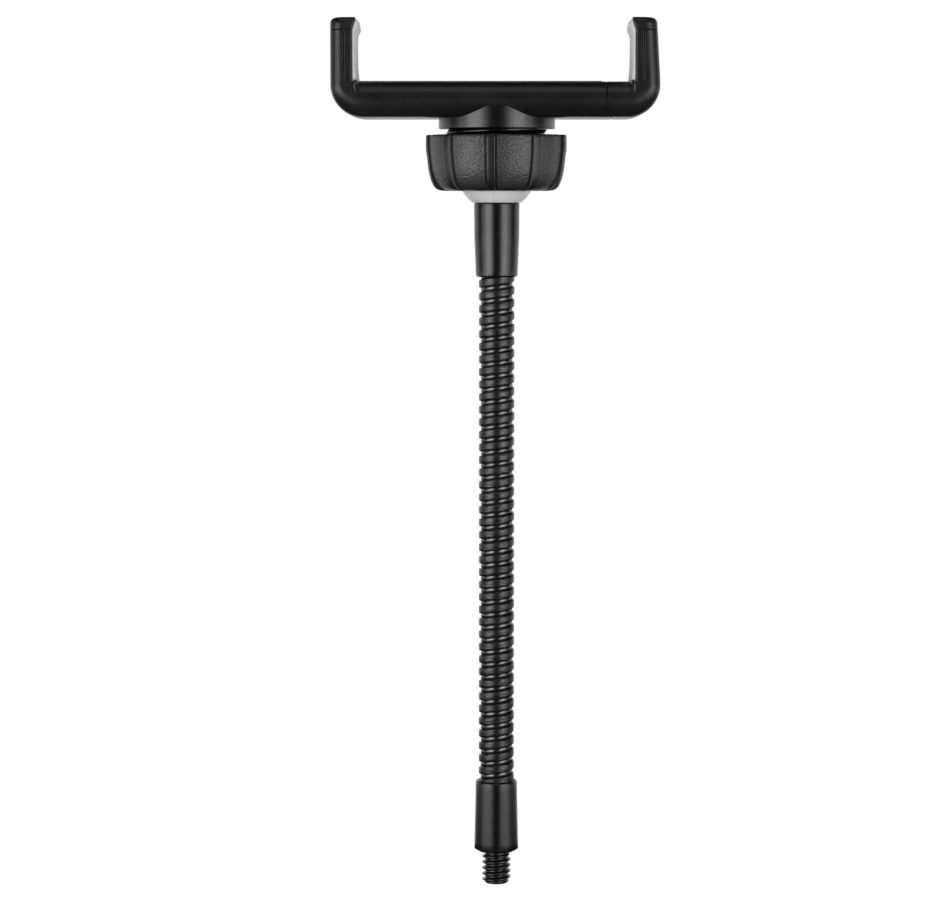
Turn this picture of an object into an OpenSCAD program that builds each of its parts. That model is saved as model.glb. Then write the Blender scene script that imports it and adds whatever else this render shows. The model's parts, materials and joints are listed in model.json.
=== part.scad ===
// Phone clamp on a short gooseneck arm with a threaded stud.
// Millimetres, +Z up. The origin is on the stud's axis at its shoulder, the jaws open along X,
// and the sliding jaw is the one at +X, shown shut.

/* [Stud and ferrules] */
// Diameter of the stud over its thread
stud_d = 6.2; // [5.8:0.05:6.6]
// Length of the stud below its shoulder
stud_len = 7.1; // [5:0.1:10]
// Length of the lower ferrule
low_ferrule_h = 15.7; // [13:0.1:20]
// Diameter of the lower ferrule at the stud
low_ferrule_d = 9.6; // [9.2:0.1:11]
// Length of the upper ferrule
top_ferrule_h = 15.9; // [15:0.1:20]
// Diameter of the upper ferrule at the ball
top_ferrule_d = 9.8; // [9.2:0.1:9.9]

/* [Gooseneck] */
// Outer diameter of the gooseneck
neck_d = 7.7; // [7.4:0.05:7.8]
// Turns in view between the ferrules
neck_turns = 40; // [20:1:42]
// Distance from one turn to the next
neck_pitch = 2.745; // [2.6:0.005:2.9]
// Turns hidden in each ferrule
hidden_turns = 1.5; // [1:0.5:1.5]

/* [Ball joint] */
// Diameter of the ball
ball_d = 17; // [16.8:0.1:17.2]
// Diameter of the locking knob over its ribs
knob_d = 30.3; // [29:0.1:34]
// Height of the locking knob
knob_h = 12; // [12:0.1:14]
// Ribs round the knob
rib_count = 9; // [6:1:12]
// Width of one rib
rib_w = 2.3; // [1.5:0.1:3]
// Depth of the grip panels between the ribs
panel_depth = 0.5; // [0.2:0.05:0.8]
// Diameter of the socket's flange
flange_d = 25; // [24:0.1:25]
// Diameter of the thread that the knob turns on
thread_d = 20.6; // [20.4:0.1:22]

/* [Clamp] */
// Depth of the clamp from front to back
clamp_depth = 25.2; // [25:0.1:30]
// Thickness of the bar
bar_h = 7.6; // [7.6:0.1:9]
// Reach of the fixed jaw from the stud's axis
fixed_reach = 35.2; // [35:0.1:40]
// Reach of the sliding jaw from the stud's axis when shut
slide_reach = 34.5; // [34.2:0.1:40]
// Seam between the body and the sliding jaw
seam_x = 23.2; // [22:0.1:24]
// Radius of the elbow under each arm
elbow_r = 6.9; // [5:0.1:7]
// Rise of the arms above the bar
arm_rise = 13.4; // [13:0.1:20]
// Thickness of the fixed arm
fixed_arm_t = 4.75; // [4.6:0.05:6]
// Thickness of the sliding arm at its foot
slide_arm_t = 5.35; // [5.2:0.05:6]
// Lean of the sliding arm's outer face
slide_arm_lean = 1.1; // [0:0.1:1.3]
// Travel of the sliding jaw
jaw_travel = 25; // [20:1:25]

/* [Hidden] */
$fn = 64;
eps = 0.01;

// Colours
black_plastic = [0.06, 0.06, 0.065];
gloss_black = [0.03, 0.03, 0.035];
black_steel = [0.1, 0.1, 0.11];
steel = [0.62, 0.62, 0.64];
grey_plastic = [0.7, 0.7, 0.71];
grey_silicone = [0.72, 0.72, 0.7];

// Clearances: between a shaft and its hole, and between two faces that slide
running_gap = 0.05;
slide_gap = 0.1;

// Heights along the arm
stud_r = stud_d / 2;
stud_root_r = stud_r - 0.4;
stud_seat = 7.5;
neck_r = neck_d / 2;
neck_z = low_ferrule_h;
neck_len = neck_turns * neck_pitch;
hidden_len = hidden_turns * neck_pitch;
neck_bore_depth = hidden_len + 0.25;
top_ferrule_z = neck_z + neck_len;
ball_seat_z = top_ferrule_z + top_ferrule_h;
ball_r = ball_d / 2;
ball_z = ball_seat_z + 6.7;
shank_r = 2.5;
seat_cone_h = 0.8;
shank_len = 8;

// The knob and the socket round the ball
knob_r = knob_d / 2;
knob_z = ball_z - 4.2;
knob_top = knob_z + knob_h;
knob_taper = 0.9;
seat_r = ball_r + running_gap;
thread_r = thread_d / 2;
skirt_z = ball_z + 2.5;
ring_z = ball_z - 3.1;
ring_r = 10;
flange_z = knob_top + 1.3;

// The bar and its ends
bar_z = flange_z + 2.2;
bar_top = bar_z + bar_h;
bar_mid = bar_z + bar_h / 2;
edge_r = bar_h / 2;
half_depth = clamp_depth / 2;
elbow_z = bar_z + elbow_r;
tip_z = bar_top + arm_rise;
tip_r = 1.3;
cap_h = 2.6;
lip = 0.5;
insert_t = 1.8;
insert_fillet = 1;
insert_foot = bar_top - 0.6;
insert_cut = 30;

// The pads
pad_w = 21;
pad_t = 1.1;
pad_proud = 0.25;
pad_lip = 1;
pad_foot = bar_top + 0.25;
pad_top = tip_z - 0.9;

// The slide channel inside the bar
floor_t = 1.7;
channel_z = bar_z + floor_t;
channel_h = 4.4;
channel_w = 20.4;
channel_end = -30;
roof_w = 13;
roof_start = -26.9;
roof_end = 18.8;
seam_r = 2.2;

// The cover over the channel
plate_w = 16.4;
plate_start = -30.2;
plate_end = 22.2;
plate_seat = 0.9;
plate_rise = 0.15;
plate_t = plate_seat + plate_rise;
plate_screw_x = [-28.4, 20.4];
plate_screw_y = 5.5;
plate_screw_r = 0.8;
plate_screw_len = 1.6;

// The tongue of the sliding jaw and what holds it
tongue_w = 12.4;
tongue_end = -14;
stop_x = 14;
stop_r = 1.2;
slot_r = stop_r + slide_gap;
lug_x = [-8.6, -3];
lug_t = 0.8;
peg_r = 0.8;
peg_seat = 0.3;
peg_x = -7.5;
anchor_x = -28.5;
spring_y = 8.2;
spring_r = 1.7;
spring_wire = 0.5;
spring_z = channel_z + channel_h / 2;

// The screws that hold the socket to the bar
socket_screw_r = 1.25;
socket_screw_head_r = 2.2;
socket_screw_ring = 7.6;
socket_screw_count = 4;
socket_screw_len = 6;

// A length on a grid of a thousandth of a millimetre, so that pieces of one outline meet exactly
function on_grid(v) = round(v * 1000) / 1000;

// Points along an arc about c, from angle a to angle b
function arc(c, r, a, b, n = 8) =
  [for (i = [0:n]) let (t = a + (b - a) * i / n) c + [on_grid(r * cos(t)), on_grid(r * sin(t))]];

// Extrudes a front-view outline of X and Z through the given depth
module through_depth(depth) {
  rotate([90, 0, 0])
    translate([0, 0, -depth / 2])
      linear_extrude(depth)
        children();
}

// One wire wound into a helix about Z, from its section of [radius, height] points
module wound_wire(section, start_turn, turns, per_turn) {
  steps = round(turns * per_turn);
  count = len(section);
  points = [
    for (i = [0:steps], p = section)
      let (turn = start_turn + turns * i / steps)
        [p[0] * cos(360 * turn), p[0] * sin(360 * turn), p[1] + turn * neck_pitch]
  ];
  sides = [
    for (i = [0:steps - 1], j = [0:count - 1])
      let (a = i * count + j, b = i * count + (j + 1) % count)
        each [[a, b, b + count], [a, b + count, a + count]]
  ];
  start_cap = [for (j = [count - 1:-1:0]) j];
  end_cap = [for (j = [0:count - 1]) steps * count + j];
  polyhedron(points, concat([start_cap], sides, [end_cap]));
}

// The stud, with a plain shank pressed into the lower ferrule
module threaded_stud() {
  tip = 0.7;
  color(black_steel)
    rotate_extrude()
      polygon([
        [0, -stud_len],
        [stud_r - tip, -stud_len],
        [stud_r, -stud_len + tip],
        [stud_r, 0],
        [stud_root_r, 0],
        [stud_root_r, stud_seat],
        [0, stud_seat]
      ]);
}

// The lower ferrule: chamfered foot with a shallow relief round the stud, so that it seats flat,
// rounded rim, a bore for the stud and one for the gooseneck
module lower_ferrule() {
  relief = 0.3;
  foot_r = low_ferrule_d / 2;
  chamfer = [1, 0.6];
  rim_r = 4.5;
  round_r = 0.5;
  color(gloss_black)
    difference() {
      rotate_extrude()
        polygon(concat(
          [[0, 0], [foot_r - chamfer[0], 0], [foot_r, chamfer[1]]],
          arc([rim_r - round_r, low_ferrule_h - round_r], round_r, 0, 90),
          [[0, low_ferrule_h]]
        ));
      translate([0, 0, -eps])
        cylinder(r = stud_r + running_gap, h = relief + eps);
      translate([0, 0, -eps])
        cylinder(r = stud_root_r, h = stud_seat + eps);
      translate([0, 0, low_ferrule_h - neck_bore_depth])
        cylinder(r = neck_r + running_gap, h = neck_bore_depth + eps);
    }
}

// The upper ferrule: barely barrel-shaped, a bore in each end, and a low cone on top under the ball
module upper_ferrule() {
  foot_r = 4.5;
  belly = [top_ferrule_d / 2 - 0.06, 0.55 * top_ferrule_h];
  rim_r = top_ferrule_d / 2;
  edge = 0.3;
  shank_bore_depth = shank_len + 0.3;
  color(gloss_black)
    translate([0, 0, top_ferrule_z])
      difference() {
        rotate_extrude()
          polygon(concat(
            [[0, 0], [foot_r - edge, 0], [foot_r, edge], belly],
            arc([rim_r - edge, top_ferrule_h - edge], edge, 0, 90),
            [[shank_r, top_ferrule_h + seat_cone_h], [0, top_ferrule_h + seat_cone_h]]
          ));
        translate([0, 0, -eps])
          cylinder(r = neck_r + running_gap, h = neck_bore_depth + eps);
        translate([0, 0, top_ferrule_h - shank_bore_depth])
          cylinder(r = shank_r + running_gap, h = shank_bore_depth + seat_cone_h + eps);
      }
}

// The round spring wire, whose crests show between the turns of the outer wire
module gooseneck_coil() {
  wire_r = 0.98;
  mean_r = neck_r - 1.42;
  section = [for (a = [0:90:270]) [mean_r + wire_r * cos(a), wire_r * sin(a)]];
  color(steel)
    translate([0, 0, neck_z])
      wound_wire(section, 0.3 - hidden_turns, neck_turns + 2 * hidden_turns - 0.6, 14);
}

// The outer wire of keystone section, wedged between the turns of the spring wire
module gooseneck_wrap() {
  band = 1.76;
  root = 0.5;
  half_turn = neck_pitch / 2;
  section = [
    [neck_r, half_turn - band / 2],
    [neck_r, half_turn + band / 2],
    [neck_r - 1.2, half_turn + root / 2],
    [neck_r - 1.2, half_turn - root / 2]
  ];
  color(black_steel)
    translate([0, 0, neck_z])
      wound_wire(section, 0.3 - hidden_turns, neck_turns + 2 * hidden_turns - 1.2, 18);
}

// The ball, hollowed to a low cone where it sits on the ferrule, with its shank
module ball() {
  gap = running_gap;
  seat_edge_r = top_ferrule_d / 2 - 0.3;
  color(grey_plastic) {
    difference() {
      translate([0, 0, ball_z])
        sphere(r = ball_r, $fn = 96);
      translate([0, 0, ball_seat_z])
        rotate_extrude()
          polygon([
            [0, -ball_d],
            [ball_r, -ball_d],
            [ball_r, gap],
            [seat_edge_r, gap],
            [shank_r, seat_cone_h + gap],
            [0, seat_cone_h + gap]
          ]);
    }
    translate([0, 0, ball_seat_z - shank_len])
      cylinder(r = shank_r, h = shank_len + seat_cone_h + 1);
  }
}

// The split ring that the knob squeezes on the ball
module friction_ring() {
  slots = 6;
  slot_w = 0.9;
  ring_top = skirt_z - slide_gap;
  color(grey_plastic)
    difference() {
      rotate_extrude()
        polygon([
          [5, ring_z],
          [ring_r - 1.1, ring_z],
          [ring_r, ring_z + 2],
          [ring_r, ring_top],
          [5, ring_top]
        ]);
      translate([0, 0, ball_z])
        sphere(r = seat_r, $fn = 96);
      for (i = [0:slots - 1])
        rotate([0, 0, 360 * i / slots])
          translate([5, -slot_w / 2, ring_z - 1])
            cube([ring_r, slot_w, 4.6]);
    }
}

// The locking knob: a nut with ribs, its lip under the ball
module knob() {
  bottom_r = 2.2;
  foot_r = knob_r - knob_taper;
  top_edge = 0.35;
  bore_r = thread_r + 0.08;
  panel_span = 360 / rib_count - 360 * rib_w / (PI * knob_d);
  first_rib = -95;
  color(black_plastic)
    difference() {
      rotate_extrude()
        polygon(concat(
          [[knob_r - top_edge, knob_top], [bore_r, knob_top]],
          [[bore_r, skirt_z - 0.2], [ring_r + slide_gap, skirt_z - 0.2]],
          [[ring_r + slide_gap, ring_z + 2], [ring_r - 1, ring_z - slide_gap]],
          [[8.05, ring_z - slide_gap], [7.52, knob_z]],
          arc([foot_r - bottom_r, knob_z + bottom_r], bottom_r, -90, -18),
          knob_side(knob_r),
          [[knob_r, knob_top - top_edge]]
        ));
      for (i = [0:rib_count - 1])
        rotate([0, 0, first_rib + 360 * (i + 0.5) / rib_count - panel_span / 2])
          grip_panel(panel_span);
    }
}

// The knob's side above its rounded foot, barely tapered, for a radius r at the top
function knob_side(r) = [[r - 0.15, knob_z + 6], [r, knob_z + 8.3]];

// One panel cut into the knob's side from top to bottom, with a softer foot than the ribs
module grip_panel(span) {
  face_r = knob_r - panel_depth;
  foot_round = 3.4;
  foot = [face_r - knob_taper - foot_round, knob_z + foot_round + 0.15];
  rotate_extrude(angle = span)
    polygon(concat(
      arc(foot, foot_round, -75, -12),
      knob_side(face_r),
      [[face_r, knob_top + 1], [knob_r + 1, knob_top + 1]],
      [[knob_r + 1, knob_z - 1], [foot[0], knob_z - 1]]
    ));
}

// The flange, the thread for the knob and the seat over the ball, saddled to the bar
module socket() {
  color(gloss_black)
    difference() {
      union() {
        translate([0, 0, flange_z])
          cylinder(d = flange_d, h = bar_mid - flange_z);
        translate([0, 0, skirt_z])
          cylinder(r = thread_r, h = flange_z - skirt_z + eps);
      }
      bar_form(-fixed_reach, slide_reach);
      translate([0, 0, ball_z])
        sphere(r = seat_r, $fn = 96);
      at_socket_screws()
        translate([0, 0, channel_z - socket_screw_len])
          cylinder(r = socket_screw_r, h = socket_screw_len);
    }
}

module at_socket_screws() {
  for (i = [0:socket_screw_count - 1])
    rotate([0, 0, 45 + 360 * i / socket_screw_count])
      translate([socket_screw_ring, 0, 0])
        children();
}

// A countersunk screw with its flat head uppermost, its top at z = 0
module countersunk_screw(r, head_r, length) {
  recess_r = r * 0.75;
  recess_h = 0.5;
  difference() {
    countersunk_form(r, head_r, length);
    translate([0, 0, -recess_h])
      cylinder(r = recess_r, h = recess_h + eps, $fn = 6);
  }
}

module countersunk_form(r, head_r, length) {
  rim = 0.15;
  rotate_extrude()
    polygon([[0, -length], [r, -length], [r, r - head_r - rim], [head_r, -rim], [head_r, 0], [0, 0]]);
}

module socket_screws() {
  color(steel)
    at_socket_screws()
      translate([0, 0, channel_z])
        countersunk_screw(socket_screw_r, socket_screw_head_r, socket_screw_len);
}

// The outer form of the bar, its front and back edges fully round
module bar_form(x0, x1) {
  translate([x0, 0, bar_mid])
    rotate([90, 0, 90])
      linear_extrude(x1 - x0)
        stadium(clamp_depth, bar_h);
}

module stadium(w, h) {
  reach = (w - h) / 2;
  polygon(concat(
    arc([reach, 0], h / 2, -90, 90, 16),
    arc([-reach, 0], h / 2, 90, 270, 16)
  ));
}

// Section of an end of thickness t: square inside, round at its two outer corners
module end_section(t) {
  corner = [t - edge_r, half_depth - edge_r];
  polygon(concat(
    [[0, half_depth], [0, -half_depth]],
    arc([corner[0], -corner[1]], edge_r, -90, 0),
    arc(corner, edge_r, 0, 90)
  ));
}

// The bar's end with its elbow and arm, for an end at +X
module end_form(x0, reach, arm_t, lean) {
  bar_form(x0, reach - elbow_r);
  intersection() {
    bar_form(reach - elbow_r, reach - arm_t + 1);
    translate([x0, -clamp_depth, elbow_z])
      cube([reach - x0, 2 * clamp_depth, bar_h]);
  }
  translate([reach - elbow_r, 0, elbow_z])
    rotate([90, 0, 0])
      rotate([0, 0, -90])
        rotate_extrude(angle = 90)
          end_section(elbow_r);
  intersection() {
    translate([reach - arm_t - lip, 0, elbow_z])
      linear_extrude(tip_z - elbow_z)
        end_section(arm_t + lip);
    through_depth(clamp_depth)
      arm_outline(reach - arm_t, reach, lean);
  }
}

// Front view of an arm, with the small lip at its tip
module arm_outline(inner, outer, lean) {
  tip = outer - lean;
  polygon(concat(
    [[inner, elbow_z], [outer, elbow_z], [outer, bar_top]],
    arc([tip - tip_r, tip_z - tip_r], tip_r, 0, 90),
    [[inner - lip + 0.3, tip_z], [inner - lip, tip_z - 0.3]],
    [[inner - lip, tip_z - 0.6], [inner, tip_z - 0.9]]
  ));
}

// Front view of what the insert takes from an arm: the tip cap and the strip down its inner side
module insert_region(inner) {
  seam = inner + insert_t;
  cap_z = tip_z - cap_h;
  translate([inner, insert_foot])
    square([insert_t, tip_z - insert_foot + 1]);
  translate([inner - 2, bar_top])
    square([2 + eps, arm_rise + 1]);
  translate([inner - 2, cap_z])
    square([insert_cut, cap_h + 1]);
  difference() {
    translate([seam - eps, cap_z - insert_fillet])
      square(insert_fillet + eps);
    translate([seam + insert_fillet, cap_z - insert_fillet])
      circle(r = insert_fillet);
  }
}

// The tip cap and inner strip of an arm at +X, with the pad's recess
module jaw_insert(reach, arm_t, lean) {
  inner = reach - arm_t;
  difference() {
    intersection() {
      translate([inner - lip, 0, elbow_z])
        linear_extrude(tip_z - elbow_z)
          end_section(arm_t + lip);
      through_depth(clamp_depth)
        intersection() {
          arm_outline(inner, reach, lean);
          insert_region(inner);
        }
    }
    through_depth(pad_w)
      pad_outline(inner);
  }
}

// Front view of a pad, with the soft lip near its top
module pad_outline(inner) {
  back = inner + pad_t;
  face = inner - pad_proud;
  polygon([
    [back, pad_foot],
    [back, pad_top],
    [inner - pad_proud, pad_top],
    [inner - pad_lip, pad_top - 0.8],
    [inner - pad_lip, pad_top - 1.2],
    [face, pad_top - 2.5],
    [face, pad_foot + 0.3],
    [face + 0.25, pad_foot]
  ]);
}

// The seam's right-hand side in front view: straight down, then curving out under the jaw
module jaw_side(gap) {
  x0 = seam_x - gap;
  translate([x0, bar_z + seam_r])
    square([insert_cut, tip_z]);
  translate([seam_x + seam_r, bar_z - 1])
    square([insert_cut, tip_z]);
  translate([seam_x + seam_r, bar_z + seam_r])
    circle(r = seam_r + gap);
}

// The bar with the fixed arm in one piece, hollow for the slide
module clamp_body() {
  color(black_plastic)
    difference() {
      mirror([1, 0, 0])
        end_form(-slide_reach, fixed_reach, fixed_arm_t, 0);
      mirror([1, 0, 0])
        through_depth(clamp_depth + 1)
          insert_region(fixed_reach - fixed_arm_t);
      through_depth(clamp_depth + 1)
        jaw_side(slide_gap);
      translate([channel_end, -channel_w / 2, channel_z])
        cube([seam_x - channel_end + 5, channel_w, channel_h]);
      translate([roof_start, -roof_w / 2, channel_z])
        cube([roof_end - roof_start, roof_w, bar_h]);
      translate([plate_start, -plate_w / 2, bar_top - plate_seat])
        cube([plate_end - plate_start, plate_w, bar_h]);
      at_socket_screws()
        translate([0, 0, channel_z])
          countersunk_form(socket_screw_r, socket_screw_head_r, socket_screw_len);
      at_plate_screws()
        cylinder(r = plate_screw_r, h = 2 * plate_screw_len, center = true);
      at_spring_pins()
        cylinder(r = peg_r, h = channel_h + 2 * peg_seat);
      translate([stop_x, 0, channel_z - 1.2])
        cylinder(r = stop_r, h = 2);
    }
}

// The cover over the slide, which the phone's back rests on
module face_plate() {
  color(black_plastic)
    difference() {
      translate([plate_start, -plate_w / 2, bar_top - plate_seat])
        cube([plate_end - plate_start, plate_w, plate_t]);
      at_plate_screws()
        countersunk_form(plate_screw_r, plate_screw_r + 0.6, plate_screw_len);
    }
}

module at_plate_screws() {
  for (x = plate_screw_x, side = [-1, 1])
    translate([x, side * plate_screw_y, bar_top + plate_rise])
      children();
}

module face_plate_screws() {
  color(black_steel)
    at_plate_screws()
      countersunk_screw(plate_screw_r, plate_screw_r + 0.6, plate_screw_len);
}

module fixed_jaw_insert() {
  color(black_plastic)
    mirror([1, 0, 0])
      jaw_insert(fixed_reach, fixed_arm_t, 0);
}

module fixed_jaw_pad() {
  color(grey_silicone)
    mirror([1, 0, 0])
      through_depth(pad_w)
        pad_outline(fixed_reach - fixed_arm_t);
}

// The sliding jaw's end with its arm, and the tongue that runs in the channel
module sliding_jaw() {
  color(black_plastic) {
    difference() {
      intersection() {
        end_form(0, slide_reach, slide_arm_t, slide_arm_lean);
        through_depth(clamp_depth + 1)
          jaw_side(0);
      }
      through_depth(clamp_depth + 1)
        insert_region(slide_reach - slide_arm_t);
    }
    tongue();
  }
}

module tongue() {
  low = channel_z + slide_gap;
  high = channel_z + channel_h - slide_gap;
  difference() {
    translate([tongue_end, -tongue_w / 2, low])
      cube([seam_x - tongue_end + 3, tongue_w, high - low]);
    through_slot(low, high);
  }
  for (side = [-1, 1]) {
    translate([lug_x[0], side > 0 ? tongue_w / 2 - eps : -spring_y - 1.6, low])
      cube([lug_x[1] - lug_x[0], spring_y + 1.6 - tongue_w / 2 + eps, lug_t]);
    translate([peg_x, side * spring_y, low])
      cylinder(r = peg_r, h = high - low);
  }
}

// The slot that the stop pin stands in, as long as the travel
module through_slot(low, high) {
  translate([stop_x - jaw_travel, -slot_r, low - 1])
    cube([jaw_travel, 2 * slot_r, high - low + 2]);
  for (x = [stop_x - jaw_travel, stop_x])
    translate([x, 0, low - 1])
      cylinder(r = slot_r, h = high - low + 2);
}

module sliding_jaw_insert() {
  color(black_plastic)
    jaw_insert(slide_reach, slide_arm_t, slide_arm_lean);
}

module sliding_jaw_pad() {
  color(grey_silicone)
    through_depth(pad_w)
      pad_outline(slide_reach - slide_arm_t);
}

// A closely wound tension spring along X with a loop at each end
module tension_spring() {
  loop_r = 1.25;
  coil_start = anchor_x + loop_r;
  coil_len = peg_x - loop_r - coil_start;
  turns = round(coil_len / spring_wire);
  step = coil_len / turns;
  inner_r = spring_r - spring_wire;
  color(steel) {
    translate([coil_start, 0, 0])
      rotate([0, 90, 0])
        rotate_extrude($fn = 32)
          polygon(concat(
            [[inner_r, coil_len], [inner_r, 0]],
            [for (i = [0:turns - 1], p = [[spring_r - 0.15, i * step], [spring_r, (i + 0.5) * step]]) p],
            [[spring_r - 0.15, coil_len]]
          ));
    for (end = [[anchor_x, 1], [peg_x, -1]]) {
      translate([end[0], 0, 0])
        rotate_extrude($fn = 32)
          translate([loop_r, 0])
            circle(d = spring_wire, $fn = 16);
      translate([end[0] + end[1] * loop_r, 0, 0])
        rotate([0, 90 * end[1], 0])
          cylinder(r = spring_r - 0.1, h = spring_wire, $fn = 32);
    }
  }
}

module spring_front() {
  translate([0, -spring_y, spring_z])
    tension_spring();
}

module spring_rear() {
  translate([0, spring_y, spring_z])
    tension_spring();
}

module at_spring_pins() {
  for (side = [-1, 1])
    translate([anchor_x, side * spring_y, channel_z - peg_seat])
      children();
}

// The two pins that hold the springs' fixed ends
module spring_pins() {
  color(steel)
    at_spring_pins()
      cylinder(r = peg_r, h = channel_h + 2 * peg_seat);
}

// The pin that stops the jaw at both ends of its travel
module stop_pin() {
  color(steel)
    translate([stop_x, 0, channel_z - 1.2])
      cylinder(r = stop_r, h = channel_h + 1);
}

threaded_stud();
lower_ferrule();
gooseneck_coil();
gooseneck_wrap();
upper_ferrule();
ball();
friction_ring();
knob();
socket();
socket_screws();
clamp_body();
face_plate();
face_plate_screws();
fixed_jaw_insert();
fixed_jaw_pad();
sliding_jaw();
sliding_jaw_insert();
sliding_jaw_pad();
spring_front();
spring_rear();
spring_pins();
stop_pin();
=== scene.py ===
"""The looks of a phone clamp on a gooseneck arm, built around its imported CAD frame. Metres, +Z up."""

import json
import math

import bmesh
import bpy
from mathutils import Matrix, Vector


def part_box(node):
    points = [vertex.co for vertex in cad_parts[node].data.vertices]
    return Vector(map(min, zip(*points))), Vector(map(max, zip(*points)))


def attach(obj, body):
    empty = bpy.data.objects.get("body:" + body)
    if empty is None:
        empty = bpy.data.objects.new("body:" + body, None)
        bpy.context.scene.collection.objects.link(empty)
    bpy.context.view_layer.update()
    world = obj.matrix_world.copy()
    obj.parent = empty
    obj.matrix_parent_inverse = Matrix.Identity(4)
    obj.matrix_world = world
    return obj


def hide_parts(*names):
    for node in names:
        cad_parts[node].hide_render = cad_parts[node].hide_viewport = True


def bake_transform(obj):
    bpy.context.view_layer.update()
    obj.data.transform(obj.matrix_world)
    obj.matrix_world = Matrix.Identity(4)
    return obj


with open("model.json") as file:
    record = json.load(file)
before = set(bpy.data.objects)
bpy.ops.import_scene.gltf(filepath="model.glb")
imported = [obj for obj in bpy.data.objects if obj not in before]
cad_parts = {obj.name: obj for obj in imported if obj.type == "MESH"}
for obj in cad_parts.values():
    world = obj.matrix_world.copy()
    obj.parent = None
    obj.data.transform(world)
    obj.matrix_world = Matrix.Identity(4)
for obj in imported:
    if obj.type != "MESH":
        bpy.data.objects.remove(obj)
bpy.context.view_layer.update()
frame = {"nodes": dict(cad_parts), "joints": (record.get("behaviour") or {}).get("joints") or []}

MM = 0.001
TURN = 2 * math.pi

# Places and sizes, read from the frame
stud_low, stud_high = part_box("threaded_stud")
knob_low, knob_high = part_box("knob")
ball_low, ball_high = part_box("ball")
clamp_low, clamp_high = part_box("clamp_body")
ball_z = next(joint["pos_m"][2] for joint in frame["joints"] if joint["name"] == "ball_tilt")
neck_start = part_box("lower_ferrule")[1].z
neck_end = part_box("upper_ferrule")[0].z
neck_middle = (neck_start + neck_end) / 2

# The gooseneck's wires
neck_turns = 40.33
neck_pitch = (neck_end - neck_start) / neck_turns
neck_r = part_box("gooseneck_wrap")[1].x
neck_phase = 0.225
hidden_turns = 1.2
coil_r = neck_r - 1.38 * MM
coil_wire_r = 1.0 * MM

# The stud's thread
thread_pitch = 1.27 * MM
thread_depth = 0.72 * MM
thread_crest = stud_high.x
thread_root = thread_crest - thread_depth

# The knob
crown_over_box = 0.1 * MM
knob_r = max(knob_high.x, -knob_low.x, -knob_low.y) + crown_over_box
rib_count = 9
rib_w = 2.05 * MM
rib_edge = 0.28 * MM
rib_wall = 0.08 * MM
groove_floor = 0.12 * MM
groove_w = 0.3 * MM
panel_depth = 0.65 * MM
first_rib = math.radians(-95)

# The clamp, in millimetres
bar_h = 7.6
edge_r = bar_h / 2
arm_r = 2.5
elbow_r = 6.9
seam_r = 2.2
seam_edge = 0.12
seam_gap = 0.06
strip_t = 1.8
strip_edge = 0.5
seam_fillet = 1.0
cap_h = 2.6
tip_r = 1.3
lip = 0.6
clamp_half = clamp_high.y / MM
bar_top = clamp_low.z / MM + bar_h
tip_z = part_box("fixed_jaw_insert")[1].z / MM
cap_z = tip_z - cap_h
pad_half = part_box("fixed_jaw_pad")[1].y / MM
seam = 23.2
fixed_arm = {"body": "head", "side": -1, "reach": -clamp_low.x / MM, "thick": 4.75, "lean": 0}
slide_arm = {"body": "jaw", "side": 1, "reach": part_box("sliding_jaw")[1].x / MM, "thick": 5.35, "lean": 0.75}
for arm in (fixed_arm, slide_arm):
    arm["inner_x"] = arm["reach"] - arm["thick"]

# The slide inside the bar, in millimetres
floor_t = 1.7
channel_h = 4.4
channel_floor = bar_top - bar_h + floor_t
channel_roof = channel_floor + channel_h
channel_low = bar_top - channel_floor
channel_high = bar_top - channel_roof
channel_half = 10.2
channel_end = 29.5
jaw_recess = 0.3
parting = 0.1
saddle_top = 161.75
tongue_half = 6.2
tongue_end = -14
play = 0.1
stop_x = 14
slot_r = 1.3
jaw_travel = 25
anchor_x = -28.5
spring_peg_x = -7.5
spring_y = 8.2


def smooth_step(low, high, value):
    """0 below low, 1 above high, and a smooth rise between."""
    t = min(1, max(0, (value - low) / (high - low)))
    return t * t * (3 - 2 * t)


def arc_rise(radius, off):
    """Height of a circle over its middle, at a distance off to the side."""
    return math.sqrt(max(0, radius ** 2 - off ** 2))


class Value:
    """A number that a node gives, for sums written as plain Python."""

    def __init__(self, nodes, socket):
        self.nodes = nodes
        self.socket = socket

    def math(self, operation, *terms):
        return self.nodes.node("ShaderNodeMath", {"operation": operation}, dict(enumerate(terms)))

    def __add__(self, other):
        return self.math("ADD", self, other)

    def __sub__(self, other):
        return self.math("SUBTRACT", self, other)

    def __rsub__(self, other):
        return self.math("SUBTRACT", other, self)

    def __mul__(self, other):
        return self.math("MULTIPLY", self, other)

    def maximum(self, other):
        return self.math("MAXIMUM", self, other)

    __radd__ = __add__
    __rmul__ = __mul__


class Nodes:
    """The nodes of a finish or of the sky."""

    def __init__(self, tree):
        self.tree = tree

    def feed(self, node, inputs):
        """Gives a node's sockets their numbers, or links them to other nodes."""
        for socket, value in inputs.items():
            if isinstance(value, Value):
                self.tree.links.new(value.socket, node.inputs[socket])
            else:
                node.inputs[socket].default_value = value

    def node(self, kind, settings=None, inputs=None, output=0):
        """A new node with its settings made and its sockets fed, taken as one of its outputs."""
        node = self.tree.nodes.new(kind)
        for setting, value in (settings or {}).items():
            setattr(node, setting, value)
        self.feed(node, inputs or {})
        return Value(self, node.outputs[output])


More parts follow.
